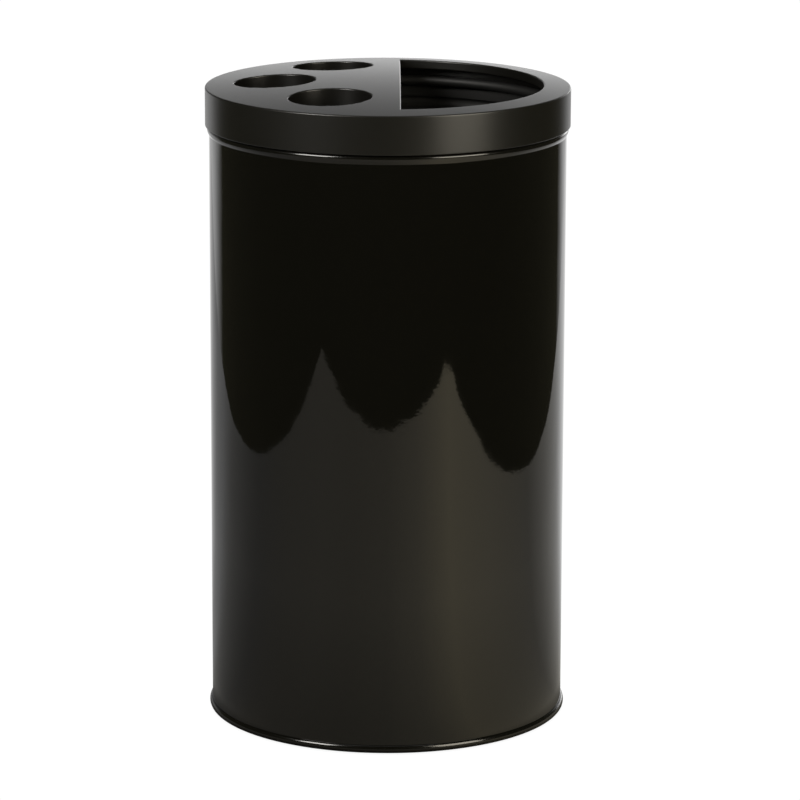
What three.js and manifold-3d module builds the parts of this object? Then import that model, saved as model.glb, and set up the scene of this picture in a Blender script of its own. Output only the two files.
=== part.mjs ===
// A round umbrella stand: a steel drum with a loose moulded lid, a drip tray and four rubber feet.
// Millimetres, +Z up. The origin is the middle of the footprint, on the floor. The front faces -Y,
// the three umbrella holes are on the -X side of the lid and the half-moon opening is on the +X side.
import * as THREE from "three";
import { mergeVertices } from "three/addons/utils/BufferGeometryUtils.js";
import Module from "manifold-3d";

const wasm = await Module();
wasm.setup();

// ---- Driving dimensions -------------------------------------------------------------------------

const STAND_HEIGHT = 515; // floor to the crown of the lid
const BODY_RADIUS = 142; // outside of the drum
const SHEET = 0.8; // steel sheet
const GAP = 0.3; // between pieces that touch
const TURNS = 64; // facets round every large turned piece

const FOOT_COUNT = 4;
const FOOT_RADIUS = 12;
const FOOT_CIRCLE = 108; // radius of the circle that the feet stand on
const FOOT_STANDOFF = 1; // how far the feet hold the chime off the floor

const CHIME_HEIGHT = 6.2; // the double seam round the bottom
const CHIME_PROUD = 2.2; // how far it stands out from the drum
const PANEL_RECESS = 6.2; // underside of the bottom panel above the foot of the chime

const LID_RADIUS = 145;
const LID_DOME = 6.4; // rise of the top from its outer edge to its crown
const LID_SKIRT_HEIGHT = 30.5; // outer edge of the top to the foot of the skirt
const LID_SKIRT_WALL = 2.5;
const LID_PLATE = 3; // thickness of the top
const LID_EDGE_ROUND = 1.2;

const HOLE_RADIUS = 32.5;
const HOLE_CIRCLE = 89.5; // radius of the circle that the hole centres lie on
const HOLE_ANGLES = [120, 180, 240]; // degrees from +X
const COLLAR_WALL = 2.5;
const COLLAR_DEPTH = 20; // below the outer edge of the top

const MOON_RADIUS = 123.5; // arc of the half-moon opening
const MOON_CHORD = 10; // its straight edge, this far to +X of the axis
const MOON_LIP_WALL = 2.5;
const MOON_LIP_DEPTH = 5.4; // of the lip round the arc, below the outer edge of the top
const CHORD_RIB_DEPTH = 12; // of the deeper rib along the straight edge
const LID_RIB = 2;

const BEAD_HEIGHT = 6.7; // the rolled bead that the lid sits on
const BEAD_CREST = 4.1; // its widest point above its foot
const BEAD_PROUD = 1.5;
const NECK_INSET = 0.3; // the neck inside the lid is this much narrower than the drum
const NECK_TOP_BELOW_EDGE = 12.8; // top of the rolled rim below the outer edge of the lid's top
const CURL_RADIUS = 4.2; // outside of the rolled rim
const SEAM_LAP = 8; // width of the doubled sheet along the drum's upright seam, at the back

const TRAY_RIM_RADIUS = 131;
const TRAY_FOOT_RADIUS = 126;
const TRAY_HEIGHT = 30;
const TRAY_WALL = 2;
const TRAY_RIM_LIP = 2;
const TRAY_RIB_HEIGHT = 3;
const TRAY_RIB_COUNT = 8;
const TRAY_TAB_WIDTH = 44;
const TRAY_TAB_RISE = 16; // of the two finger tabs above the rim

// ---- Places worked out from them ----------------------------------------------------------------

const bodyInside = BODY_RADIUS - SHEET;
const chimeFoot = FOOT_STANDOFF;
const panelUnder = chimeFoot + PANEL_RECESS;
const panelTop = panelUnder + SHEET;
const lidEdge = STAND_HEIGHT - LID_DOME;
const skirtFoot = lidEdge - LID_SKIRT_HEIGHT;
const beadTop = skirtFoot - GAP;
const beadFoot = beadTop - BEAD_HEIGHT;
const neckRadius = BODY_RADIUS - NECK_INSET;
const neckTop = lidEdge - NECK_TOP_BELOW_EDGE;
const trayFoot = panelTop + GAP;

// ---- Materials ----------------------------------------------------------------------------------

const blackEnamel = new THREE.MeshStandardMaterial({ color: 0x0b0b09, roughness: 0.08, metalness: 0 });
const satinPlastic = new THREE.MeshStandardMaterial({ color: 0x141412, roughness: 0.42, metalness: 0 });
const trayPlastic = new THREE.MeshStandardMaterial({ color: 0x1a1a1a, roughness: 0.6, metalness: 0 });
const rubber = new THREE.MeshStandardMaterial({ color: 0x121212, roughness: 0.9, metalness: 0 });

// ---- Shape helpers ------------------------------------------------------------------------------

const radians = THREE.MathUtils.degToRad;

// Points on an arc in the (radius, height) plane, both ends included; angles in degrees, 0 pointing outwards.
function arc(centreRadius, centreHeight, radius, from, to, steps) {
  const points = [];
  for (let i = 0; i <= steps; i++) {
    const angle = radians(from + ((to - from) * i) / steps);
    points.push([centreRadius + radius * Math.cos(angle), centreHeight + radius * Math.sin(angle)]);
  }
  return points;
}

// A solid turned about +Z from [radius, height] points, in the order that has the material on the left.
function turned(points, facets = TURNS) {
  const profile = points.map(([radius, height]) => new THREE.Vector2(radius, height));
  return new THREE.LatheGeometry(profile, facets).rotateX(Math.PI / 2);
}

// The same for a profile that closes on itself without touching the axis.
function turnedRing(points, facets = TURNS) {
  return turned([...points, points[0]], facets);
}

// An outline in the XY plane, pulled up from one height to another.
function prism(shape, foot, top, curveSegments = 24) {
  const depth = top - foot;
  const geometry = new THREE.ExtrudeGeometry(shape, { depth, bevelEnabled: false, curveSegments });
  return geometry.translate(0, 0, foot);
}

function cylinder(radius, foot, top, x = 0, y = 0, facets = 40) {
  return new THREE.CylinderGeometry(radius, radius, top - foot, facets)
    .rotateX(Math.PI / 2)
    .translate(x, y, (foot + top) / 2);
}

function box(sizeX, sizeY, foot, top, x = 0, y = 0) {
  return new THREE.BoxGeometry(sizeX, sizeY, top - foot).translate(x, y, (foot + top) / 2);
}

function polar(radius, degrees) {
  return [radius * Math.cos(radians(degrees)), radius * Math.sin(radians(degrees))];
}

// ---- Joining and cutting with manifold-3d -------------------------------------------------------

function solid(geometry) {
  const bare = geometry.clone();
  bare.deleteAttribute("normal");
  bare.deleteAttribute("uv");
  const merged = mergeVertices(bare, 1e-4);
  const vertProperties = new Float32Array(merged.attributes.position.array);
  const triVerts = new Uint32Array(merged.index.array);
  return new wasm.Manifold(new wasm.Mesh({ numProp: 3, vertProperties, triVerts }));
}

function joined(solids) {
  return solids.reduce((sum, next) => sum.add(next));
}

function geometryOf(manifold) {
  const mesh = manifold.getMesh();
  const geometry = new THREE.BufferGeometry();
  geometry.setAttribute("position", new THREE.BufferAttribute(new Float32Array(mesh.vertProperties), 3));
  geometry.setIndex(new THREE.BufferAttribute(new Uint32Array(mesh.triVerts), 1));
  const flat = geometry.toNonIndexed();
  flat.computeVertexNormals();
  return flat;
}

// ---- The drum -----------------------------------------------------------------------------------

// Rolled sheet: a flange caught in the double seam, the wall, the lid's stop bead, the neck that goes
// up inside the lid, and the inward curl that makes its top edge safe to touch.
function bodyShell() {
  const flangeFoot = chimeFoot + SHEET + GAP;
  const flangeEdge = BODY_RADIUS + CHIME_PROUD - SHEET - GAP;
  const curlMiddle = [neckRadius - CURL_RADIUS, neckTop - CURL_RADIUS];
  const curlSweep = 290;
  const rolled = turnedRing([
    [flangeEdge, flangeFoot],
    [flangeEdge, flangeFoot + SHEET],
    [BODY_RADIUS, flangeFoot + SHEET],
    ...beadPoints(0),
    ...arc(...curlMiddle, CURL_RADIUS, 0, curlSweep, 8),
    ...arc(...curlMiddle, CURL_RADIUS - SHEET, curlSweep, 0, 7),
    ...beadPoints(SHEET).reverse(),
    [bodyInside, flangeFoot],
  ]);
  const seamFoot = panelTop + 1;
  const seam = box(SEAM_LAP, 1.5 * SHEET, seamFoot, beadFoot - 1, 0, bodyInside - 0.25 * SHEET);
  return geometryOf(joined([solid(rolled), solid(seam)]));
}

// The bead's profile from its foot to its top, on the drum's outside or one sheet further in.
function beadPoints(inset) {
  const steps = 3;
  const points = [];
  for (let i = -steps; i <= steps; i++) {
    const share = i / steps;
    const wall = i < steps ? BODY_RADIUS : neckRadius;
    const reach = i < 0 ? BEAD_CREST : BEAD_HEIGHT - BEAD_CREST;
    const swell = BEAD_PROUD * Math.cos((share * Math.PI) / 2);
    points.push([wall - inset + swell, beadFoot + BEAD_CREST + reach * share]);
  }
  return points;
}

// The bottom: a panel recessed inside the drum, and the chime that is seamed round the drum's flange.
function baseEnd() {
  const wallOutside = bodyInside - GAP;
  const wallInside = wallOutside - SHEET;
  const chimeOutside = BODY_RADIUS + CHIME_PROUD;
  const chimeTop = chimeFoot + CHIME_HEIGHT;
  const corner = 1.4;
  return turned([
    [0, panelUnder],
    [wallInside - corner, panelUnder],
    [wallInside, panelUnder - corner],
    [wallInside, chimeFoot + 0.4],
    [wallInside + 0.4, chimeFoot],
    [chimeOutside - corner, chimeFoot],
    [chimeOutside - 0.3, chimeFoot + corner],
    [chimeOutside, chimeFoot + CHIME_HEIGHT / 2],
    [chimeOutside - 0.3, chimeTop - corner],
    [chimeOutside - corner, chimeTop],
    [BODY_RADIUS + GAP, chimeTop],
    [BODY_RADIUS + GAP, chimeTop - SHEET],
    [chimeOutside - SHEET, chimeTop - SHEET - corner],
    [chimeOutside - SHEET, chimeFoot + SHEET],
    [wallOutside, chimeFoot + SHEET],
    [wallOutside, panelTop - corner],
    [wallOutside - corner, panelTop],
    [0, panelTop],
  ]);
}

// ---- The lid ------------------------------------------------------------------------------------

const domeRadius = (LID_RADIUS ** 2 + LID_DOME ** 2) / (2 * LID_DOME);

// Height of the lid's top, or of a surface a little below it, at a distance from the axis.
function domeHeight(distance, below = 0) {
  return STAND_HEIGHT - below - (domeRadius - Math.sqrt(domeRadius ** 2 - distance ** 2));
}

// [radius, height] points across the dome, from the axis outwards.
function domePoints(edge, below, steps) {
  return [...Array(steps + 1).keys()].map((i) => {
    const distance = (edge * i) / steps;
    return [distance, domeHeight(distance, below)];
  });
}

// The lid's outside shape as a full solid, for trimming what is joined to it.
function lidEnvelope() {
  const roundCentre = [LID_RADIUS - LID_EDGE_ROUND, domeHeight(LID_RADIUS - LID_EDGE_ROUND) - LID_EDGE_ROUND];
  return solid(
    turned([
      [0, skirtFoot],
      [LID_RADIUS, skirtFoot],
      ...arc(...roundCentre, LID_EDGE_ROUND, 0, 90, 2),
      ...domePoints(LID_RADIUS - LID_EDGE_ROUND, 0, 5).reverse().slice(1),
    ]),
  );
}

function lidHollow() {
  const inside = LID_RADIUS - LID_SKIRT_WALL;
  const below = 1; // the cutter runs this far past the foot of the skirt
  return solid(
    turned([[0, skirtFoot - below], [inside, skirtFoot - below], ...domePoints(inside, LID_PLATE, 5).reverse()]),
  );
}

// The half-moon's outline, grown outwards by a margin.
function moonOutline(margin) {
  const chord = MOON_CHORD - margin;
  const radius = MOON_RADIUS + margin;
  const half = Math.acos(chord / radius);
  return new THREE.Shape().absarc(0, 0, radius, -half, half, false).closePath();
}

function lid() {
  const over = STAND_HEIGHT + 5; // the openings' cutters run up past the crown
  const under = skirtFoot - 5;
  const envelope = lidEnvelope();
  const centres = HOLE_ANGLES.map((degrees) => polar(HOLE_CIRCLE, degrees));
  const collarFoot = lidEdge - COLLAR_DEPTH;

  const collars = centres.map(([x, y]) =>
    solid(cylinder(HOLE_RADIUS + COLLAR_WALL, collarFoot, over, x, y)),
  );
  const moonLip = solid(prism(moonOutline(MOON_LIP_WALL), lidEdge - MOON_LIP_DEPTH, over));
  const chordHalf = Math.sqrt(MOON_RADIUS ** 2 - MOON_CHORD ** 2);
  const chordRib = solid(
    box(LID_RIB, 2 * chordHalf, lidEdge - CHORD_RIB_DEPTH, over, MOON_CHORD - LID_RIB / 2),
  );
  // A stiffening rib from each collar towards the skirt, stopping short of the drum's rolled rim.
  const ribReach = neckRadius - 2 * CURL_RADIUS - 2;
  const ribFoot = lidEdge - CHORD_RIB_DEPTH;
  const ribs = HOLE_ANGLES.map((degrees) =>
    solid(
      box(ribReach - HOLE_CIRCLE, LID_RIB, ribFoot, over, (ribReach + HOLE_CIRCLE) / 2).rotateZ(radians(degrees)),
    ),
  );
  // A cross rib ties the middle collar to the rib along the straight edge.
  const tie = solid(box(MOON_CHORD + HOLE_CIRCLE, LID_RIB, ribFoot, over, (MOON_CHORD - HOLE_CIRCLE) / 2));

  const stiffeners = joined([...collars, moonLip, chordRib, ...ribs, tie]).intersect(envelope);
  const openings = joined([
    ...centres.map(([x, y]) => solid(cylinder(HOLE_RADIUS, under, over, x, y))),
    solid(prism(moonOutline(0), under, over)),
  ]);
  return geometryOf(envelope.subtract(lidHollow()).add(stiffeners).subtract(openings));
}

// ---- The drip tray ------------------------------------------------------------------------------

// A shallow pan that catches the water, with ribs that hold the umbrella tips off its floor and two
// tabs to lift it out by.
function dripTray() {
  const rim = trayFoot + TRAY_HEIGHT;
  const round = 4;
  const pan = solid(
    turned([
      [0, trayFoot],
      [TRAY_FOOT_RADIUS - round, trayFoot],
      [TRAY_FOOT_RADIUS, trayFoot + round],
      [TRAY_RIM_RADIUS - TRAY_RIM_LIP, rim - TRAY_WALL],
      [TRAY_RIM_RADIUS, rim - TRAY_WALL],
      [TRAY_RIM_RADIUS, rim],
      [TRAY_RIM_RADIUS - TRAY_RIM_LIP - TRAY_WALL, rim],
      [TRAY_FOOT_RADIUS - TRAY_WALL, trayFoot + round + TRAY_WALL],
      [TRAY_FOOT_RADIUS - TRAY_WALL - round, trayFoot + TRAY_WALL],
      [0, trayFoot + TRAY_WALL],
    ]),
  );
  const ribLength = 70;
  const ribStart = 28;
  const ribs = [...Array(TRAY_RIB_COUNT).keys()].map((i) =>
    solid(
      box(ribLength, TRAY_WALL, trayFoot + 1, trayFoot + TRAY_WALL + TRAY_RIB_HEIGHT, ribStart + ribLength / 2).rotateZ(
        (2 * Math.PI * i) / TRAY_RIB_COUNT,
      ),
    ),
  );
  const tabInset = TRAY_RIM_RADIUS - TRAY_RIM_LIP - TRAY_WALL / 2 - 2;
  const tabs = [1, -1].map((side) =>
    solid(box(TRAY_TAB_WIDTH, TRAY_WALL, rim - 6, rim + TRAY_TAB_RISE, 0, side * tabInset)),
  );
  return geometryOf(joined([pan, ...ribs, ...tabs]));
}

// ---- The feet -----------------------------------------------------------------------------------

function rubberFoot() {
  const top = panelUnder - GAP;
  const chamfer = 1;
  return turned(
    [[0, 0], [FOOT_RADIUS - chamfer, 0], [FOOT_RADIUS, chamfer], [FOOT_RADIUS, top], [0, top]],
    24,
  );
}

// ---- Assembly -----------------------------------------------------------------------------------

function mesh(name, geometry, material) {
  const made = new THREE.Mesh(geometry, material);
  made.name = name;
  return made;
}

const stand = new THREE.Group();
stand.add(mesh("body_shell", bodyShell(), blackEnamel));
stand.add(mesh("base_end", baseEnd(), blackEnamel));
stand.add(mesh("lid", lid(), satinPlastic));
stand.add(mesh("drip_tray", dripTray(), trayPlastic));

const firstFoot = 45; // degrees from +X
for (let i = 0; i < FOOT_COUNT; i++) {
  const foot = mesh(`rubber_foot_${i + 1}`, rubberFoot(), rubber);
  const [x, y] = polar(FOOT_CIRCLE, firstFoot + (360 * i) / FOOT_COUNT);
  foot.position.set(x, y, 0);
  stand.add(foot);
}

export default stand;
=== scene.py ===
"""The looks of a round umbrella stand: a gloss black drum under a satin lid.

The frame is in metres, with +Z up and the front at -Y. The stand's own sizes are in millimetres, and the
studio's are in metres.
"""

import math

import bmesh
import bpy
from mathutils import Euler, Matrix, Vector
from mathutils.geometry import delaunay_2d_cdt


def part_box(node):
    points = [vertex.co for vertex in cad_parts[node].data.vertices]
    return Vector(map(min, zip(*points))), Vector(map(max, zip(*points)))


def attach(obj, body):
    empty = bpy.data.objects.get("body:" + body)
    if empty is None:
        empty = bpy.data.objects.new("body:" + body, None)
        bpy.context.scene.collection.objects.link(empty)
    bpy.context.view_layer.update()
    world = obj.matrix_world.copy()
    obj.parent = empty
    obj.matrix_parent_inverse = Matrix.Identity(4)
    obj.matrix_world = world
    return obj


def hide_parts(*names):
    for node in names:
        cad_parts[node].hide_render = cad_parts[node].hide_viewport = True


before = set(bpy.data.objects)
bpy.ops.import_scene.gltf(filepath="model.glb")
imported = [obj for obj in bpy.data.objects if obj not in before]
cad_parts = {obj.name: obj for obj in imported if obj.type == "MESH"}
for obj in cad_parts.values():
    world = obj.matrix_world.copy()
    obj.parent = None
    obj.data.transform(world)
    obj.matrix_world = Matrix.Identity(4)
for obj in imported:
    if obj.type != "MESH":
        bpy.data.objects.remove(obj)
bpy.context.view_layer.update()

MM = 0.001

# ---- Sizes in millimetres: the outermost ones are read from the frame -----------------------------


def box_mm(node):
    low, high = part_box(node)
    return low / MM, high / MM


shell_high = box_mm("body_shell")[1]
end_low, end_high = box_mm("base_end")
lid_low, lid_high = box_mm("lid")
tray_low, tray_high = box_mm("drip_tray")

SHEET = 0.8  # steel sheet
BEAD_PROUD = 1.5  # the stop bead, out from the wall
BEAD_HEIGHT = 6.7
BEAD_CREST = 4.1  # its widest point above its foot
DRUM_RADIUS = shell_high.x - BEAD_PROUD
DRUM_INSIDE = DRUM_RADIUS - SHEET
NECK_STEP = 0.3  # the neck's wall is this much further in
NECK_RADIUS = DRUM_RADIUS - NECK_STEP
NECK_TOP = shell_high.z
CURL_RADIUS = 4.2  # of the rolled rim
CURL_TURN = 290  # degrees that the sheet is rolled through
SEAM_HALF = 4  # half the width of the upright seam
SEAM_PROUD = 0.42
SEAM_FLANK = 0.5  # width of its sloping sides
WALL_LOOP = 1  # from a bead or the foot's seam to a loop that keeps the wall's shading flat

CHIME_RADIUS = end_high.x
CHIME_PROUD = CHIME_RADIUS - DRUM_RADIUS  # the seam round the foot, out from the wall
CHIME_HEIGHT = 6.2
CHIME_CREST = 2.7  # its widest point above its foot
CHIME_TUCK = 2  # how far its foot turns in
CHIME_FOOT = end_low.z
CHIME_TOP = CHIME_FOOT + CHIME_HEIGHT
CHIME_WALL = 1.2  # thickness of the seam outside the drum's edge
CHIME_FLOOR = 1.4  # and under it
CHIME_SUNK = 0.1  # how far the seam's upper edge is sunk into the drum's wall
DRUM_TUCK = 1.2  # how far the drum's wall goes down into the seam
PANEL_WALL_GAP = 0.3  # between the drum's inside and the panel's upturned wall
PANEL_TOP = end_high.z
PANEL_FLAT = 110  # radius of a loop outside the stiffening beads
PANEL_BEAD_RADII = (48, 88)
PANEL_BEAD_HALF = 3  # half a stiffening bead's width
PANEL_BEAD_DEPTH = 1.2
PANEL_ROUND = 1.2  # in the corner between the panel and its wall

LID_RADIUS = lid_high.x
LID_CROWN = lid_high.z
LID_DOME = 6.4
LID_EDGE = LID_CROWN - LID_DOME  # height of the top's outer edge
LID_PLATE = 3
LID_EDGE_ROUND = 1.2
SKIRT_FOOT = lid_low.z
SKIRT_WALL = 2.5
SKIRT_FOOT_ROUND = 0.6
CEILING_ROUND = 1.5  # in the corner between the skirt and the plate
CEILING_LOOP = 5  # from the skirt to the loop where the flat underside starts
LID_SEAT_GAP = 0.3  # between the skirt's foot and the bead
BEAD_TOP = SKIRT_FOOT - LID_SEAT_GAP
BEAD_FOOT = BEAD_TOP - BEAD_HEIGHT

HOLE_RADIUS = 32.5
HOLE_CIRCLE = 89.5  # radius of the circle that the holes' centres lie on
HOLE_ANGLES = (120, 180, 240)
COLLAR_WALL = 2.5
COLLAR_DEPTH = 20

MOON_RADIUS = 123.5
MOON_CHORD = 10
MOON_LIP_WALL = 2.2
MOON_LIP_DEPTH = 5.4
MOON_RAMP = 9  # length of the ramp at each end of the chord's rib
CHORD_RIB_DEPTH = 12
OPENING_ROUND = 1.1  # rounding of the openings' upper edges
OPENING_FOOT_ROUND = 0.5
OPENING_ROOT = LID_PLATE - 0.05  # where an opening's wall meets the underside, below the top
RIB_WALL = 2
RIB_SUNK = 0.6  # a rib's upper edge below the top's outer edge, inside the plate
RIB_END = 1  # from a rib's end, inside an opening's wall, to the opening
RIB_CURL_GAP = 2  # from the outer ribs to the drum's rolled rim

TRAY_FOOT = tray_low.z
TRAY_RIM_RADIUS = tray_high.x
TRAY_HEIGHT = 30
TRAY_WALL = 2
TRAY_FLARE = 5  # how much wider the rim is than the foot
TRAY_LIP = 2  # width of the rim outside the wall
TRAY_FLAT = 60  # radius of a loop on the tray's floor
TRAY_RIBS = 8
TRAY_RIB_LENGTH = 70
TRAY_RIB_HEIGHT = 5
TRAY_RIB_OUT = 63  # from the tray's axis to a rib's middle
TRAY_RIB_RISE = 3.5  # from the tray's foot to a rib's middle
TAB_TOP = tray_high.z
TAB_HALF = 22  # half a finger tab's width
TAB_SUNK = 6  # from the rim down to a tab's foot
TAB_INSET = 2  # from the outside of the tray's wall to a tab
TAB_ROUND = 8
SLOT_HALF_LENGTH = 12
SLOT_HALF_HEIGHT = 3
SLOT_ROUND = 2.9
SLOT_RAISED = 4  # from a tab's middle up to its slot's

# ---- Outlines -------------------------------------------------------------------------------------

FILLET_SUPPORT = 0.35  # a fillet's support points stand off it by this share of its radius
SAME_POINT = 1e-5  # millimetres between points that a triangulation takes as one


def arc(centre, radius, start, end, steps):
    """Points on an arc, both ends included; angles in degrees."""
    points = []
    for i in range(steps + 1):
        angle = math.radians(start + (end - start) * i / steps)
        points.append((centre[0] + radius * math.cos(angle), centre[1] + radius * math.sin(angle)))
    return points


def rounded(corners, closed=True, steps=6):
    """A polyline through (x, y, fillet radius) corners.

    Each fillet is an arc, with a support point before and after it where there is room.
    """
    path = []
    count = len(corners)
    for i, (x, y, radius) in enumerate(corners):
        here = Vector((x, y))
        if radius == 0 or (not closed and i in (0, count - 1)):
            path.append((x, y))
            continue
        before = Vector(corners[i - 1][:2]) - here
        after = Vector(corners[(i + 1) % count][:2]) - here
        before_unit = before.normalized()
        after_unit = after.normalized()
        half = before_unit.angle(after_unit) / 2
        reach = radius / math.tan(half)
        support = reach + FILLET_SUPPORT * radius
        middle = here + (before_unit + after_unit).normalized() * (radius / math.sin(half))
        start = here + before_unit * reach - middle
        turn = start.angle_signed(here + after_unit * reach - middle)
        if support < before.length / 2:
            path.append(tuple(here + before_unit * support))
        for step in range(steps + 1):
            path.append(tuple(middle + Matrix.Rotation(-turn * step / steps, 2) @ start))
        if support < after.length / 2:
            path.append(tuple(here + after_unit * support))
    return path


# ---- Meshes ---------------------------------------------------------------------------------------

ON_AXIS = 1e-6  # a smaller radius is a point on the axis
WELD = 1e-7  # metres between points that a mesh takes as one
CREASE = 38  # degrees: an edge where the surface turns more is kept sharp


class Shape:
    """Vertices and faces in millimetres, gathered from closed shells."""

    def __init__(self):
        self.points = []
        self.faces = []

    def loop(self, points):
        """Adds points, and gives their numbers."""
        start = len(self.points)
        self.points.extend(points)
        return list(range(start, start + len(points)))

    def bridge(self, first, second):
        """Faces between two closed loops with as many points each. One may be a single point, repeated."""
        count = len(first)
        for i in range(count):
            j = (i + 1) % count
            corners = (first[i], first[j], second[j], second[i])
            self.faces.append(tuple(dict.fromkeys(corners)))

    def turned(self, profile, facets=256, angles=None, swell=None):
        """A profile of (radius, height) points turned about +Z.

        It closes on itself, or starts and ends on the axis. swell adds to the radius of a point.
        """
        angles = angles or [2 * math.pi * i / facets for i in range(facets)]
        rings = []
        for radius, height in profile:
            if radius < ON_AXIS:
                rings.append(self.loop([(0, 0, height)]) * len(angles))
                continue
            points = []
            for angle in angles:
                out = radius + (swell(angle, radius, height) if swell else 0)
                points.append((out * math.cos(angle), out * math.sin(angle), height))
            rings.append(self.loop(points))
        pairs = list(zip(rings, rings[1:]))
        if profile[0][0] >= ON_AXIS:
            pairs.append((rings[-1], rings[0]))
        for first, second in pairs:
            self.bridge(first, second)

    def block(self, size, centre, turn=0, bevel=0.4):
        """A box with rounded edges, turned by some degrees about +Z."""
        bm = bmesh.new()
        bmesh.ops.create_cube(bm, size=1)
        bmesh.ops.scale(bm, vec=size, verts=bm.verts)
        bmesh.ops.bevel(bm, geom=bm.edges[:], offset=bevel, segments=3, affect="EDGES", profile=0.5)
        placed = Matrix.Rotation(math.radians(turn), 4, "Z") @ Matrix.Translation(centre)
        bmesh.ops.transform(bm, matrix=placed, verts=bm.verts)
        self.take(bm)

    def take(self, bm):
        """Adds what a bmesh holds, and frees it."""
        start = len(self.points)
        bm.verts.index_update()
        self.points.extend(tuple(v.co) for v in bm.verts)
        self.faces.extend(tuple(start + v.index for v in f.verts) for f in bm.faces)
        bm.free()

    def piece(self, name, body, replaced, material):
        """Makes the piece, in metres, with its normals out and creases kept sharp."""
        mesh = bpy.data.meshes.new(name)
        mesh.from_pydata([tuple(c * MM for c in p) for p in self.points], [], self.faces)
        bm = bmesh.new()
        bm.from_mesh(mesh)
        bmesh.ops.remove_doubles(bm, verts=bm.verts, dist=WELD)
        bmesh.ops.recalc_face_normals(bm, faces=bm.faces)
        bm.to_mesh(mesh)
        bm.free()
        mesh.shade_smooth()
        mesh.set_sharp_from_angle(angle=math.radians(CREASE))
        mesh.materials.append(material)
        made = bpy.data.objects.new(name, mesh)
        bpy.context.scene.collection.objects.link(made)
        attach(made, body)
        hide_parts(replaced)
        return made


# ---- Materials ------------------------------------------------------------------------------------


class Nodes:
    """The node tree of a new material or world, with short ways to add and link nodes."""

    def __init__(self, owner, output="ShaderNodeOutputMaterial", place="Object"):
        owner.use_nodes = True
        self.owner = owner
        self.tree = owner.node_tree
        self.tree.nodes.clear()
        self.output = self.add(output)
        self.place = self.add("ShaderNodeTexCoord").outputs[place]

    def add(self, kind, inputs=None, **settings):
        """Adds a node. An input is a value, or the socket of another node."""
        node = self.tree.nodes.new(kind)
        for key, value in settings.items():
            setattr(node, key, value)
        for key, value in (inputs or {}).items():
            self.feed(node.inputs[key], value)
        return node

    def feed(self, socket, value):
        if isinstance(value, bpy.types.NodeSocket):
            self.tree.links.new(value, socket)
        else:
            socket.default_value = value

    def maths(self, operation, first, second):
        return self.add("ShaderNodeMath", {0: first, 1: second}, operation=operation).outputs["Value"]

    def vector(self, operation, *inputs):
        """The outputs of a vector calculation: the one to use is called Vector or Value."""
        return self.add("ShaderNodeVectorMath", dict(enumerate(inputs)), operation=operation).outputs

    def noise(self, scale, detail=2, roughness=0.5, stretch=(1, 1, 1)):
        """Noise from 0 to 1, with that many features to a metre."""
        mapped = self.add("ShaderNodeMapping", {"Vector": self.place, "Scale": stretch}).outputs["Vector"]
        inputs = {"Vector": mapped, "Scale": scale, "Detail": detail, "Roughness": roughness}
        return self.add("ShaderNodeTexNoise", inputs).outputs["Fac"]

    def span(self, value, low, high, out_low, out_high):
        """Maps low..high to out_low..out_high, clamped."""
        inputs = {"Value": value, "From Min": low, "From Max": high, "To Min": out_low, "To Max": out_high}
        return self.add("ShaderNodeMapRange", inputs).outputs["Result"]

    def blend(self, factor, first, second):
        """A colour between two, by a factor."""
        mix = self.add("ShaderNodeMix", data_type="RGBA")
        self.feed(mix.inputs["Factor"], factor)
        self.feed(mix.inputs[6], first)
        self.feed(mix.inputs[7], second)
        return mix.outputs[2]

    def ramp(self, factor, stops):
        """A colour by a factor, from (place, colour) stops."""
        made = self.add("ShaderNodeValToRGB", {"Fac": factor})
        elements = made.color_ramp.elements
        while len(elements) > 1:
            elements.remove(elements[-1])
        for i, (place, colour) in enumerate(stops):
            element = elements[0] if i == 0 else elements.new(place)
            element.position = place
            element.color = colour
        return made.outputs["Color"]

    def bump(self, height, distance, strength, below=None):
        """A bumped normal: the distance is in metres, and below is a coarser bump under this one."""
        inputs = {"Height": height, "Distance": distance, "Strength": strength}
        if below is not None:
            inputs["Normal"] = below
        return self.add("ShaderNodeBump", inputs).outputs["Normal"]

    def principled(self, **inputs):
        """Ends a material with a principled shader, and gives the material."""
        shader = self.add("ShaderNodeBsdfPrincipled")
        for key, value in inputs.items():
            self.feed(shader.inputs[key.replace("_", " ")], value)
        self.feed(self.output.inputs["Surface"], shader.outputs["BSDF"])
        return self.owner

    def by_viewer(self, mirrored, seen):
        """Ends a tree with one shader for the camera, and another for light and reflections."""
        eye = self.add("ShaderNodeLightPath").outputs["Is Camera Ray"]
        mix = self.add("ShaderNodeMixShader", {0: eye, 1: mirrored.outputs[0], 2: seen.outputs[0]})
        self.feed(self.output.inputs["Surface"], mix.outputs[0])


def material_nodes(name):
    return Nodes(bpy.data.materials.new(name))


def enamel_sides(n):
    """How far a point is inside the drum, and how far it stands out from the wall, both from 0 to 1."""
    flat = n.vector("MULTIPLY", n.place, (1, 1, 0))["Vector"]
    outwards = n.vector("NORMALIZE", flat)["Vector"]
    normal = n.add("ShaderNodeNewGeometry").outputs["Normal"]
    facing = n.vector("DOT_PRODUCT", normal, outwards)["Value"]
    inside = n.span(facing, -0.2, 0, 1, 0)
    radius = n.vector("LENGTH", flat)["Value"]
    proud = n.span(radius, (DRUM_RADIUS + 0.1) * MM, (DRUM_RADIUS + 0.5) * MM, 0, 1)
    return inside, proud


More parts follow.
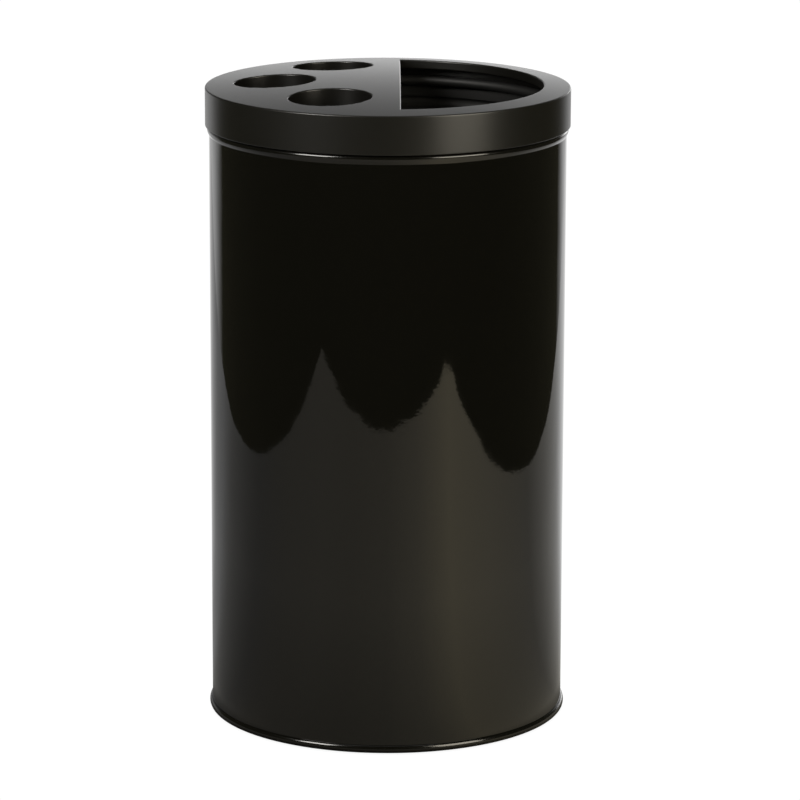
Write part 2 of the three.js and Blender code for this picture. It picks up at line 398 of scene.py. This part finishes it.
def black_enamel():
    """Stoved gloss enamel on sheet steel: a mirror with orange peel, waves in the sheet and a little dust.

    It is duller inside the drum, where its colour is also lighter as painted light on the shaded inside, and
    slightly duller on the stop bead and the foot's seam.
    """
    n = material_nodes("black_enamel")
    inside, proud = enamel_sides(n)
    dust = n.span(n.noise(900), 0.66, 0.75, 0, 1)
    colour = n.blend(dust, (0.0016, 0.0015, 0.0011, 1), (0.006, 0.006, 0.0052, 1))
    # painted light: a lighter colour inside the drum brightens its shaded inside
    colour = n.blend(inside, colour, (0.006, 0.006, 0.0058, 1))
    gloss = n.span(n.noise(9, detail=3), 0.3, 0.7, 0.02, 0.045)
    gloss = n.maths("ADD", gloss, n.span(inside, 0, 1, 0, 0.52))
    gloss = n.maths("ADD", gloss, n.span(proud, 0, 1, 0, 0.12))
    waves = n.bump(n.noise(22, stretch=(1, 1, 0.4)), distance=0.0005, strength=0.6)
    ripples = n.bump(n.noise(75, stretch=(1, 1, 0.6)), distance=0.00006, strength=0.6, below=waves)
    peel = n.bump(n.noise(420, roughness=0.4), distance=0.00002, strength=0.25, below=ripples)
    return n.principled(Base_Color=colour, Roughness=gloss, Normal=peel, IOR=1.5)


def satin_plastic():
    """Moulded plastic with a fine spark-eroded grain."""
    n = material_nodes("satin_black_plastic")
    grain = n.noise(2600, roughness=0.6)
    cloud = n.noise(14, detail=3)
    colour = n.blend(cloud, (0.004, 0.0038, 0.003, 1), (0.0054, 0.0052, 0.0044, 1))
    gloss = n.span(grain, 0.3, 0.7, 0.28, 0.34)
    normal = n.bump(grain, distance=0.00003, strength=0.35)
    return n.principled(Base_Color=colour, Roughness=gloss, Normal=normal, IOR=1.48)


def tray_plastic():
    """Injection-moulded plastic with fine scuffs."""
    n = material_nodes("tray_plastic")
    grain = n.noise(1800)
    scuffs = n.noise(120, detail=4, roughness=0.7, stretch=(1, 6, 1))
    worn = n.span(scuffs, 0.5, 0.75, 0, 1)
    colour = n.blend(worn, (0.014, 0.014, 0.014, 1), (0.026, 0.026, 0.025, 1))
    gloss = n.span(scuffs, 0.3, 0.7, 0.45, 0.62)
    normal = n.bump(grain, distance=0.00004, strength=0.4)
    return n.principled(Base_Color=colour, Roughness=gloss, Normal=normal, IOR=1.48)


def foot_rubber():
    """Matt rubber with a mottled bloom."""
    n = material_nodes("foot_rubber")
    bloom = n.noise(160, detail=4, roughness=0.65)
    pores = n.noise(1500)
    colour = n.blend(bloom, (0.008, 0.008, 0.008, 1), (0.02, 0.02, 0.019, 1))
    gloss = n.span(bloom, 0.3, 0.7, 0.72, 0.9)
    normal = n.bump(pores, distance=0.00008, strength=0.5)
    return n.principled(Base_Color=colour, Roughness=gloss, Normal=normal, IOR=1.45)


# ---- The drum and its bottom ----------------------------------------------------------------------


def seam_swell(angle, radius, height):
    """The upright lock seam at the back: a flat strip that stands a little proud of the wall."""
    low = CHIME_TOP + 1.5 * WALL_LOOP
    high = BEAD_FOOT - 0.8 * WALL_LOOP
    if radius < DRUM_RADIUS - 0.1 or not low < height < high:
        return 0
    across = abs(angle - math.pi / 2) * DRUM_RADIUS
    return SEAM_PROUD * max(0, min(1, (SEAM_HALF + SEAM_FLANK - across) / SEAM_FLANK))


def seam_angles():
    """Angles just before, at and after each side of the seam."""
    steps = (-0.3, 0, SEAM_FLANK, SEAM_FLANK + 0.3)
    return [math.pi / 2 + side * (SEAM_HALF + step) / DRUM_RADIUS for side in (1, -1) for step in steps]


def bead_profile(inset, steps=12):
    """The bead from its foot to its top, on the drum's outside or that much further in."""
    points = []
    for i in range(-steps, steps + 1):
        share = i / steps
        wall = DRUM_RADIUS if i < steps else NECK_RADIUS
        reach = BEAD_CREST if i < 0 else BEAD_HEIGHT - BEAD_CREST
        swell = BEAD_PROUD * math.cos(share * math.pi / 2)
        points.append((wall - inset + swell, BEAD_FOOT + BEAD_CREST + reach * share))
    return points


def drum(material):
    """One sheet from the foot's seam up the wall, over the bead and round the rolled rim."""
    wall_foot = CHIME_TOP - DRUM_TUCK
    outer = [
        (DRUM_INSIDE, wall_foot),
        (DRUM_RADIUS, wall_foot),
        (DRUM_RADIUS, CHIME_TOP + WALL_LOOP),
        (DRUM_RADIUS, CHIME_TOP + 2 * WALL_LOOP),
        (DRUM_RADIUS, BEAD_FOOT - 2 * WALL_LOOP),
        (DRUM_RADIUS, BEAD_FOOT - WALL_LOOP),
        *bead_profile(0),
        (NECK_RADIUS, BEAD_TOP + 2 * WALL_LOOP),
    ]
    curl = (NECK_RADIUS - CURL_RADIUS, NECK_TOP - CURL_RADIUS)
    rolled = arc(curl, CURL_RADIUS, 0, CURL_TURN, 40)
    under = arc(curl, CURL_RADIUS - SHEET, CURL_TURN, 0, 30)
    inner = [
        (NECK_RADIUS - SHEET, BEAD_TOP + 2 * WALL_LOOP),
        *bead_profile(SHEET)[::-1],
        (DRUM_INSIDE, BEAD_FOOT - 2 * WALL_LOOP),
        (DRUM_INSIDE, CHIME_TOP + 2 * WALL_LOOP),
    ]
    facets = 288
    even = [2 * math.pi * (i + 0.5) / facets for i in range(facets)]
    shape = Shape()
    shape.turned(outer + rolled + under + inner, angles=sorted(even + seam_angles()), swell=seam_swell)
    return shape.piece("drum", "drum", "body_shell", material)


def chime_roll(steps=10):
    """The outside of the foot's seam: a quarter of an ellipse to its crest, and another to the wall."""
    quarter = [math.pi / 2 * i / steps for i in range(steps + 1)]
    crest = CHIME_FOOT + CHIME_CREST
    rise = CHIME_HEIGHT - CHIME_CREST
    path = []
    for a in quarter:
        path.append((CHIME_RADIUS - CHIME_TUCK * (1 - math.sin(a)), crest - CHIME_CREST * math.cos(a)))
    for a in quarter[1:]:
        path.append((DRUM_RADIUS + CHIME_PROUD * math.cos(a), crest + rise * math.sin(a)))
    return path


def panel_bead(radius, height, steps=8):
    """A stiffening bead's path across the panel, dipping below that height."""
    path = []
    for i in range(steps + 1):
        angle = math.pi * (1 - i / steps)
        out = radius + PANEL_BEAD_HALF * math.cos(angle)
        path.append((out, height - PANEL_BEAD_DEPTH * math.sin(angle)))
    return path


def drum_bottom(material):
    """The double seam round the foot and the recessed panel with its stiffening beads."""
    panel_wall = DRUM_INSIDE - PANEL_WALL_GAP
    under = PANEL_TOP - SHEET
    below = [(0, under)]
    above = [(0, PANEL_TOP)]
    for radius in PANEL_BEAD_RADII:
        below += panel_bead(radius, under)
        above += panel_bead(radius, PANEL_TOP)
    # Out under the panel and down its wall, up the seam's outside, then down round the drum's edge and back.
    corners = [
        (PANEL_FLAT, under, 0),
        (panel_wall - SHEET, under, PANEL_ROUND),
        (panel_wall - SHEET, CHIME_FOOT, 0.4),
        *[(x, y, 0) for x, y in chime_roll()],
        (DRUM_RADIUS - CHIME_SUNK, CHIME_TOP, 0),
        (DRUM_RADIUS - CHIME_SUNK, CHIME_TOP - 2, 0),
        (CHIME_RADIUS - CHIME_WALL, CHIME_TOP - 3, 0),
        (CHIME_RADIUS - CHIME_WALL, CHIME_FOOT + CHIME_FLOOR, 0),
        (panel_wall, CHIME_FOOT + CHIME_FLOOR, 0),
        (panel_wall, PANEL_TOP, PANEL_ROUND),
        (PANEL_FLAT, PANEL_TOP, 0),
    ]
    shape = Shape()
    shape.turned(below + rounded(corners, closed=False) + above[::-1])
    return shape.piece("drum_bottom", "drum", "base_end", material)


# ---- The lid --------------------------------------------------------------------------------------

DOME_RADIUS = (LID_RADIUS**2 + LID_DOME**2) / (2 * LID_DOME)
EDGE_SUPPORT = 0.8  # a loop this far from a rounded edge keeps the shading beside it flat
PLATE_SPACING = 7  # between the free points of a plate
PLATE_MARGIN = 2  # from them to the plate's edge and its openings


def dome(x, y, below=0):
    """Height of the lid's top over a point, or of the surface that far below it."""
    return LID_CROWN - below - DOME_RADIUS + math.sqrt(DOME_RADIUS**2 - x * x - y * y)


def on_dome(below):
    """A height function, for the surface that far below the top."""
    return lambda x, y: dome(x, y, below)


def level(height):
    return lambda x, y: height


class Opening:
    """A hole through the lid, with a wall hanging down round it.

    outline gives its points, grown by a margin; holds tells if a point is inside it, grown by a margin;
    wall is the wall's thickness; and foot gives the height of the wall's foot over a point.
    """

    def __init__(self, outline, holds, wall, foot):
        self.outline = outline
        self.holds = holds
        self.wall = wall
        self.foot = foot

    def above_foot(self, rise):
        return lambda x, y: self.foot(x, y) + rise


def circle_outline(centre, radius, count):
    """Makes the function that gives the circle's points, grown by a margin."""

    def outline(margin):
        angles = [2 * math.pi * i / count for i in range(count)]
        out = radius + margin
        return [(centre[0] + out * math.cos(a), centre[1] + out * math.sin(a)) for a in angles]

    return outline


def in_circle(centre, radius):
    return lambda x, y, margin: math.hypot(x - centre[0], y - centre[1]) < radius + margin


def moon_outline(margin, arc_points=120, chord_points=48):
    """The half-moon's points, grown by a margin: the arc first, then the chord."""
    chord = MOON_CHORD - margin
    radius = MOON_RADIUS + margin
    half = math.degrees(math.acos(chord / radius))
    end = radius * math.sin(math.radians(half))
    curve = arc((0, 0), radius, -half, half, arc_points)
    straight = [(chord, end - 2 * end * i / chord_points) for i in range(1, chord_points)]
    return curve + straight


def in_moon(x, y, margin):
    return x > MOON_CHORD - margin and math.hypot(x, y) < MOON_RADIUS + margin


def moon_foot(x, y):
    """The lip is shallow round the arc and deep along the chord, with a ramp at each corner."""
    if x > MOON_CHORD + 0.5:
        return LID_EDGE - MOON_LIP_DEPTH
    chord_half = math.sqrt(MOON_RADIUS**2 - MOON_CHORD**2)
    ramp = max(0, min(1, (chord_half - abs(y) - 1) / MOON_RAMP))
    return LID_EDGE - MOON_LIP_DEPTH - (CHORD_RIB_DEPTH - MOON_LIP_DEPTH) * ramp


def collar_foot(x, y):
    return LID_EDGE - COLLAR_DEPTH


def lid_openings():
    """The half moon, then the three umbrella holes."""
    openings = [Opening(moon_outline, in_moon, MOON_LIP_WALL, moon_foot)]
    for degrees in HOLE_ANGLES:
        turn = math.radians(degrees)
        centre = (HOLE_CIRCLE * math.cos(turn), HOLE_CIRCLE * math.sin(turn))
        outline = circle_outline(centre, HOLE_RADIUS, 112)
        openings.append(Opening(outline, in_circle(centre, HOLE_RADIUS), COLLAR_WALL, collar_foot))
    return openings


def ring(shape, points, height):
    """Adds a loop over flat points, at the heights that a function of x and y gives."""
    return shape.loop([(x, y, height(x, y)) for x, y in points])


def plate(shape, outer_loops, opening_loops, openings, clear, below):
    """Fills a domed surface between loops that are already in the shape, keeping out of the openings.

    The loops are lists of vertex numbers, and the last of outer_loops is the innermost. clear is how far
    the openings' own loops stand off their outlines.
    """
    numbers = []
    edges = []
    for loop in [*outer_loops, *opening_loops]:
        start = len(numbers)
        numbers.extend(loop)
        edges.extend((start + i, start + (i + 1) % len(loop)) for i in range(len(loop)))
    reach = min(math.hypot(*shape.points[v][:2]) for v in outer_loops[-1])
    radius = PLATE_SPACING
    inner_points = [(0, 0)]
    while radius < reach - PLATE_MARGIN:
        count = round(2 * math.pi * radius / PLATE_SPACING)
        for i in range(count):
            angle = 2 * math.pi * i / count
            inner_points.append((radius * math.cos(angle), radius * math.sin(angle)))
        radius += PLATE_SPACING
    free = [p for p in inner_points if not any(o.holds(*p, clear + PLATE_MARGIN) for o in openings)]
    numbers.extend(ring(shape, free, on_dome(below)))
    flat = [Vector(shape.points[v][:2]) for v in numbers]
    made, _, triangles, origins, _, _ = delaunay_2d_cdt(flat, edges, [], 0, SAME_POINT)
    hole = clear - 0.6  # a triangle with its middle inside this margin covers an opening
    for triangle in triangles:
        middle = sum((made[i] for i in triangle), Vector((0, 0))) / 3
        if not any(o.holds(*middle, hole) for o in openings):
            shape.faces.append(tuple(numbers[origins[i][0]] for i in triangle))


def opening_wall(shape, opening):
    """An opening's rounded upper edge, its wall down to the foot and up the outside to the plate."""
    path = []
    steps = 8
    for step in range(steps + 1):
        angle = math.radians(90 * step / steps)
        margin = OPENING_ROUND * (1 - math.sin(angle))
        below = OPENING_ROUND * (1 - math.cos(angle))
        path.append(ring(shape, opening.outline(margin), on_dome(below)))
    path.append(ring(shape, opening.outline(0), on_dome(OPENING_ROUND + 0.5)))
    bend = OPENING_FOOT_ROUND
    eased = bend * 0.3
    inner_side = [(0, bend + 0.4), (0, bend), (eased, eased), (bend, 0)]
    outer_side = [(opening.wall - bend, 0), (opening.wall - eased, eased), (opening.wall, bend)]
    for margin, rise in inner_side + outer_side:
        path.append(ring(shape, opening.outline(margin), opening.above_foot(rise)))
    path.append(ring(shape, opening.outline(opening.wall), on_dome(OPENING_ROOT)))
    for first, second in zip(path, path[1:]):
        shape.bridge(first, second)
    return path


def lid_skirt(shape):
    """The lid's outer edge and skirt.

    It gives two loops on the lid's top, the inner one last, and the loop where the underside starts.
    """
    outer = circle_outline((0, 0), 0, 256)
    rim = LID_RADIUS - LID_EDGE_ROUND
    edge_height = dome(rim, 0) - LID_EDGE_ROUND
    inside = LID_RADIUS - SKIRT_WALL
    ceiling_start = inside - CEILING_LOOP
    support_loop = ring(shape, outer(rim - EDGE_SUPPORT), on_dome(0))
    rim_loop = ring(shape, outer(rim), on_dome(0))
    profile = arc((rim, edge_height), LID_EDGE_ROUND, 90, 0, 8)[1:]
    profile += rounded(
        [
            (LID_RADIUS, edge_height - 0.6, 0),
            (LID_RADIUS, SKIRT_FOOT, SKIRT_FOOT_ROUND),
            (inside, SKIRT_FOOT, SKIRT_FOOT_ROUND),
            (inside, dome(inside, 0, LID_PLATE), CEILING_ROUND),
            (ceiling_start, dome(ceiling_start, 0, LID_PLATE), 0),
        ],
        closed=False,
    )
    loops = [ring(shape, outer(radius), level(height)) for radius, height in profile]
    for first, second in zip([rim_loop, *loops], loops):
        shape.bridge(first, second)
    return [rim_loop, support_loop], loops[-1]


def lid_ribs(shape):
    """Stiffening ribs: one outwards from each collar, and one between the middle collar and the chord."""
    foot = LID_EDGE - CHORD_RIB_DEPTH
    top = LID_EDGE - RIB_SUNK
    middle = (top + foot) / 2
    wall_end = NECK_RADIUS - 2 * CURL_RADIUS - RIB_CURL_GAP
    collar_out = HOLE_CIRCLE + HOLE_RADIUS + RIB_END
    for degrees in HOLE_ANGLES:
        size = (wall_end - collar_out, RIB_WALL, top - foot)
        shape.block(size, ((wall_end + collar_out) / 2, 0, middle), turn=degrees)
    collar_in = HOLE_CIRCLE - HOLE_RADIUS - RIB_END
    chord_end = MOON_CHORD - RIB_END
    size = (collar_in + chord_end, RIB_WALL, top - foot)
    shape.block(size, ((chord_end - collar_in) / 2, 0, middle))


def lid(material):
    """One moulding: a domed plate with its openings, the skirt round it and ribs below."""
    shape = Shape()
    openings = lid_openings()
    top_loops, under_loop = lid_skirt(shape)
    top_opening_loops = []
    under_opening_loops = []
    for opening in openings:
        top_opening_loops.append(ring(shape, opening.outline(OPENING_ROUND + EDGE_SUPPORT), on_dome(0)))
        path = opening_wall(shape, opening)
        top_opening_loops.append(path[0])
        under_opening_loops.append(path[-1])
    plate(shape, top_loops, top_opening_loops, openings, OPENING_ROUND, 0)
    plate(shape, [under_loop], under_opening_loops, openings, COLLAR_WALL, LID_PLATE)
    lid_ribs(shape)
    return shape.piece("lid_cap", "lid", "lid", material)


# ---- The drip tray and the feet -------------------------------------------------------------------


def drip_tray(material):
    """A flared pan with a lip, ribs on its floor and two finger tabs."""
    rim = TRAY_FOOT + TRAY_HEIGHT
    floor_top = TRAY_FOOT + TRAY_WALL
    foot_radius = TRAY_RIM_RADIUS - TRAY_FLARE
    wall_top = TRAY_RIM_RADIUS - TRAY_LIP
    corners = [
        (TRAY_FLAT, TRAY_FOOT, 0),
        (foot_radius, TRAY_FOOT, 5),
        (wall_top, rim - TRAY_WALL, 0.5),
        (TRAY_RIM_RADIUS, rim - TRAY_WALL, 0.7),
        (TRAY_RIM_RADIUS, rim, 0.9),
        (wall_top - TRAY_WALL, rim, 0.9),
        (foot_radius - TRAY_WALL, floor_top, 3.5),
        (TRAY_FLAT, floor_top, 0),
    ]
    shape = Shape()
    shape.turned([(0, TRAY_FOOT), *rounded(corners, closed=False), (0, floor_top)])
    rib_size = (TRAY_RIB_LENGTH, TRAY_WALL, TRAY_RIB_HEIGHT)
    rib_middle = (TRAY_RIB_OUT, 0, TRAY_FOOT + TRAY_RIB_RISE)
    for i in range(TRAY_RIBS):
        shape.block(rib_size, rib_middle, turn=360 / TRAY_RIBS * i, bevel=0.7)
    inset = wall_top - TRAY_WALL / 2 - TAB_INSET
    for side in (1, -1):
        tray_tab(shape, side * inset, rim - TAB_SUNK)
    return shape.piece("tray_pan", "drip_tray", "drip_tray", material)


def tray_tab(shape, y, foot):
    """A finger tab: an upright plate with rounded upper corners and a slot to grip it by."""
    lower = [(-TAB_HALF, foot, 0), (TAB_HALF, foot, 0)]
    upper = [(TAB_HALF, TAB_TOP, TAB_ROUND), (-TAB_HALF, TAB_TOP, TAB_ROUND)]
    outline = rounded(lower + upper)
    middle = (TAB_TOP + foot) / 2 + SLOT_RAISED
    signs = ((-1, -1), (1, -1), (1, 1), (-1, 1))
    slot_corners = [(x * SLOT_HALF_LENGTH, middle + z * SLOT_HALF_HEIGHT, SLOT_ROUND) for x, z in signs]
    slot = rounded(slot_corners, steps=8)
    flat = [Vector(p) for p in outline + slot]
    count = len(outline)
    total = len(flat)
    edges = [(i, (i + 1) % count) for i in range(count)]
    edges += [(i, count + (i + 1 - count) % (total - count)) for i in range(count, total)]
    triangles, origins = delaunay_2d_cdt(flat, edges, [], 0, SAME_POINT)[2:4]
    bm = bmesh.new()
    sheet = [bm.verts.new((p.x, y - TRAY_WALL / 2, p.y)) for p in flat]
    for triangle in triangles:
        numbers = [origins[i][0] for i in triangle]
        if any(i < count for i in numbers):
            bm.faces.new([sheet[i] for i in numbers])
    bmesh.ops.dissolve_limit(bm, angle_limit=0.01, verts=bm.verts, edges=bm.edges)
    pulled = bmesh.ops.extrude_face_region(bm, geom=bm.faces[:])
    moved = [g for g in pulled["geom"] if isinstance(g, bmesh.types.BMVert)]
    bmesh.ops.translate(bm, vec=(0, TRAY_WALL, 0), verts=moved)
    bmesh.ops.recalc_face_normals(bm, faces=bm.faces)
    shape.take(bm)


def rubber_foot(node, material):
    """A round pad with a shallow dimple underneath, where its CAD node is."""
    low, high = box_mm(node)
    middle_x = (low.x + high.x) / 2
    middle_y = (low.y + high.y) / 2
    radius = (high.x - low.x) / 2
    corners = [
        (radius * 0.35, low.z, 0),
        (radius * 0.45, low.z + 0.5, 0.2),
        (radius * 0.55, low.z, 0.2),
        (radius, low.z, 1.1),
        (radius, high.z, 0.5),
        (radius * 0.5, high.z, 0),
    ]
    shape = Shape()
    profile = [(0, low.z), *rounded(corners, closed=False), (0, high.z)]
    shape.turned(profile, facets=64)
    shape.points = [(x + middle_x, y + middle_y, z) for x, y, z in shape.points]
    return shape.piece(node.replace("rubber_foot", "foot_pad"), "drum", node, material)


# ---- The studio, in metres ------------------------------------------------------------------------

CAMERA_PLACE = (0, -3.399, 1.0582)
CAMERA_LENS = 195.17  # millimetres
CAMERA_SENSOR = 36  # millimetres
CAMERA_PITCH = 13.329  # degrees down
CAMERA_YAW = -0.173  # degrees about +Z, so slightly to the right
CAMERA_ROLL = 0.169  # degrees that the picture leans

FLOOR_REACH = 30
TABLE_LEFT = -1.045  # edges of the white table that the drum mirrors
TABLE_RIGHT = 0.965
TABLE_FRONT = -1.215
TABLE_BACK = 6
TABLE_CORNER = 0.09  # cut off its front right-hand corner
TABLE_TOP = -0.002  # just under the floor
TABLE_SHADE = (0.146, 0.172, 0.2, 1)  # close to the stand: from, to, and the light at each
TABLE_RISE = (0.2, 0.58, 0.7, 1.02)  # further out: the same
LIGHT_TARGET = (0, 0, 0.3)  # the point that the lights are aimed at

# The table's light by direction from the stand, in degrees from -Y towards +X: a level and a warmth.
TABLE_LIGHT = (
    (-168, 1.0, 0.0), (-154, 0.62, 0.0), (-140, 0.4, 0.0), (-127, 0.42, 0.0), (-114, 0.33, 0.05),
    (-90.1, 0.27, 0.08), (-89.9, 0.27, 0.08), (-84, 0.26, 0.08), (-60, 0.34, 0.18), (-40, 0.38, 0.2),
    (-20, 0.38, 0.22), (0, 0.43, 0.24), (18, 0.59, 0.28), (38, 0.98, 0.36), (64, 0.77, 0.3),
    (96, 0.43, 0.18), (121, 0.58, 0.1), (137, 0.68, 0.04), (150, 0.95, 0.0),
)
BACKDROP_SKEW = -0.07  # turns the backdrop's middle slightly to the left
# How squarely behind the stand a direction is: from, to, and the backdrop's share at each.
BACKDROP_EDGE = (0.73, 0.87, 0, 1)
BACKDROP_ACROSS = (-0.3, 0.3, 0.55, 3.9)  # a direction's X: from, to, and the light at each
BACKDROP_BELOW = 1.7  # the light below the horizon
CEILING_EDGE = (0.4, 0.7, 1, 0)  # a direction's Z: from, to, and the backdrop's share at each
ROOM_COLOUR = (0.056, 0.053, 0.035, 1)
# The backdrop's light by the height of a direction, which is its Z plus a half: a place and a level.
BACKDROP_LIGHT = ((0.46, 0.5), (0.5, 1.0), (0.55, 0.95), (0.66, 0.42), (0.82, 0.16), (1, 0.05))


def stage_piece(name, corners, material):
    """One flat face of the set."""
    mesh = bpy.data.meshes.new(name)
    mesh.from_pydata(corners, [], [tuple(range(len(corners)))])
    mesh.materials.append(material)
    made = bpy.data.objects.new(name, mesh)
    bpy.context.scene.collection.objects.link(made)
    return made


def floor():
    """A pale floor, near white to the eye, with a faint contact shadow under the stand."""
    n = material_nodes("floor")
    shade = n.add("ShaderNodeAmbientOcclusion", {"Distance": 0.008}, samples=8)
    strength = n.span(shade.outputs["AO"], 0, 0.7, 0.9, 1.02)
    seen = n.add("ShaderNodeEmission", {"Color": (1, 1, 1, 1), "Strength": strength})
    lit = n.add("ShaderNodeBsdfDiffuse", {"Color": (0.8, 0.8, 0.79, 1)})
    n.by_viewer(lit, seen)
    signs = ((-1, -1), (1, -1), (1, 1), (-1, 1))
    made = stage_piece("floor", [(x * FLOOR_REACH, y * FLOOR_REACH, 0) for x, y in signs], n.owner)
    made.visible_glossy = False


def table_card():
    """What the gloss mirrors of the table: white, warmer and brighter towards the right-hand key light.

    It is darker close to the stand, which shades it.
    """
    n = material_nodes("table_card")
    around = n.add("ShaderNodeTexGradient", {"Vector": n.place}, gradient_type="RADIAL").outputs["Fac"]
    stops = []
    for degrees, shade, warmth in TABLE_LIGHT:
        place = ((degrees - 90) / 360 + 0.5) % 1
        stops.append((place, (shade, shade * (1 - 0.3 * warmth), shade * (1 - warmth), 1)))
    reach = n.vector("LENGTH", n.place)["Value"]
    strength = n.maths("MULTIPLY", n.span(reach, *TABLE_RISE), n.span(reach, *TABLE_SHADE))
    light = n.add("ShaderNodeEmission", {"Color": n.ramp(around, stops), "Strength": strength})
    n.feed(n.output.inputs["Surface"], light.outputs[0])
    corners = [
        (TABLE_LEFT, TABLE_FRONT, TABLE_TOP),
        (TABLE_RIGHT - TABLE_CORNER, TABLE_FRONT, TABLE_TOP),
        (TABLE_RIGHT, TABLE_FRONT + TABLE_CORNER, TABLE_TOP),
        (TABLE_RIGHT, TABLE_BACK, TABLE_TOP),
        (TABLE_LEFT, TABLE_BACK, TABLE_TOP),
    ]
    made = stage_piece("table_card", corners, n.owner)
    made.visible_camera = False
    made.visible_diffuse = False
    made.visible_shadow = False


def backdrop_level(n, parts):
    """The backdrop's light: brightest at the horizon, and brighter to the right above it."""
    raised = n.maths("ADD", parts["Z"], 0.5)
    falloff = n.ramp(raised, [(place, (shade, shade, shade, 1)) for place, shade in BACKDROP_LIGHT])
    across = n.span(parts["X"], *BACKDROP_ACROSS)
    above = n.span(parts["Z"], -0.06, 0.0, 0, 1)
    strength = n.add("ShaderNodeMix", {"Factor": above, "A": BACKDROP_BELOW, "B": across}).outputs[0]
    return n.maths("MULTIPLY", falloff, strength)


def surroundings():
    """The world: white to the eye, and to the gloss a backdrop behind the stand in a dim warm room."""
    world = bpy.data.worlds.new("studio")
    bpy.context.scene.world = world
    n = Nodes(world, output="ShaderNodeOutputWorld", place="Generated")
    parts = n.add("ShaderNodeSeparateXYZ", {0: n.place}).outputs
    behind = n.maths("ADD", n.maths("MULTIPLY", parts["X"], BACKDROP_SKEW), parts["Y"])
    backdrop = n.span(behind, *BACKDROP_EDGE)
    below_ceiling = n.span(parts["Z"], *CEILING_EDGE)
    bright = n.maths("MULTIPLY", backdrop, below_ceiling)
    shade = backdrop_level(n, parts)
    white = n.add("ShaderNodeCombineColor", {"Red": shade, "Green": shade, "Blue": shade}).outputs[0]
    room = n.blend(bright, ROOM_COLOUR, white)
    mirrored = n.add("ShaderNodeBackground", {"Color": room, "Strength": 1})
    seen = n.add("ShaderNodeBackground", {"Color": (1, 1, 1, 1), "Strength": 1.02})
    n.by_viewer(mirrored, seen)


def softbox(name, azimuth, elevation, distance, size, power, colour):
    """An area light aimed at the stand. Azimuth is in degrees from -Y towards +X."""
    data = bpy.data.lights.new(name, "AREA")
    data.shape = "RECTANGLE"
    data.size, data.size_y = size
    data.energy = power
    data.color = colour
    made = bpy.data.objects.new(name, data)
    bpy.context.scene.collection.objects.link(made)
    around = math.radians(azimuth)
    up = math.radians(elevation)
    out = Vector((math.sin(around) * math.cos(up), -math.cos(around) * math.cos(up), math.sin(up)))
    made.location = Vector(LIGHT_TARGET) + out * distance
    made.rotation_euler = (-out).to_track_quat("-Z", "Y").to_euler()


def lights():
    """A key on each side of the front, and a weak light over the lid."""
    softbox(
        "key_left", azimuth=-48, elevation=28, distance=2.2,
        size=(0.8, 1.0), power=40, colour=(1, 0.97, 0.92),
    )
    softbox(
        "key_right", azimuth=46, elevation=17, distance=2.0,
        size=(1.1, 1.2), power=32, colour=(1, 0.93, 0.78),
    )
    softbox(
        "top", azimuth=180, elevation=80, distance=2.4,
        size=(1.6, 1.6), power=10, colour=(1, 1, 1),
    )


def camera():
    """A long lens in front, looking slightly down."""
    data = bpy.data.cameras.new("camera")
    data.sensor_width = CAMERA_SENSOR
    data.lens = CAMERA_LENS
    made = bpy.data.objects.new("camera", data)
    bpy.context.scene.collection.objects.link(made)
    made.location = CAMERA_PLACE
    turn = Euler((math.radians(90 - CAMERA_PITCH), 0, math.radians(CAMERA_YAW))).to_matrix()
    made.rotation_euler = (turn @ Matrix.Rotation(math.radians(CAMERA_ROLL), 3, "Z")).to_euler()
    bpy.context.scene.camera = made


def studio():
    camera()
    surroundings()
    floor()
    table_card()
    lights()
    view = bpy.context.scene.view_settings
    view.view_transform = "Standard"
    view.look = "None"


def stand():
    enamel = black_enamel()
    drum(enamel)
    drum_bottom(enamel)
    lid(satin_plastic())
    drip_tray(tray_plastic())
    rubber = foot_rubber()
    for node in sorted(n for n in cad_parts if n.startswith("rubber_foot")):
        rubber_foot(node, rubber)


studio()
stand()
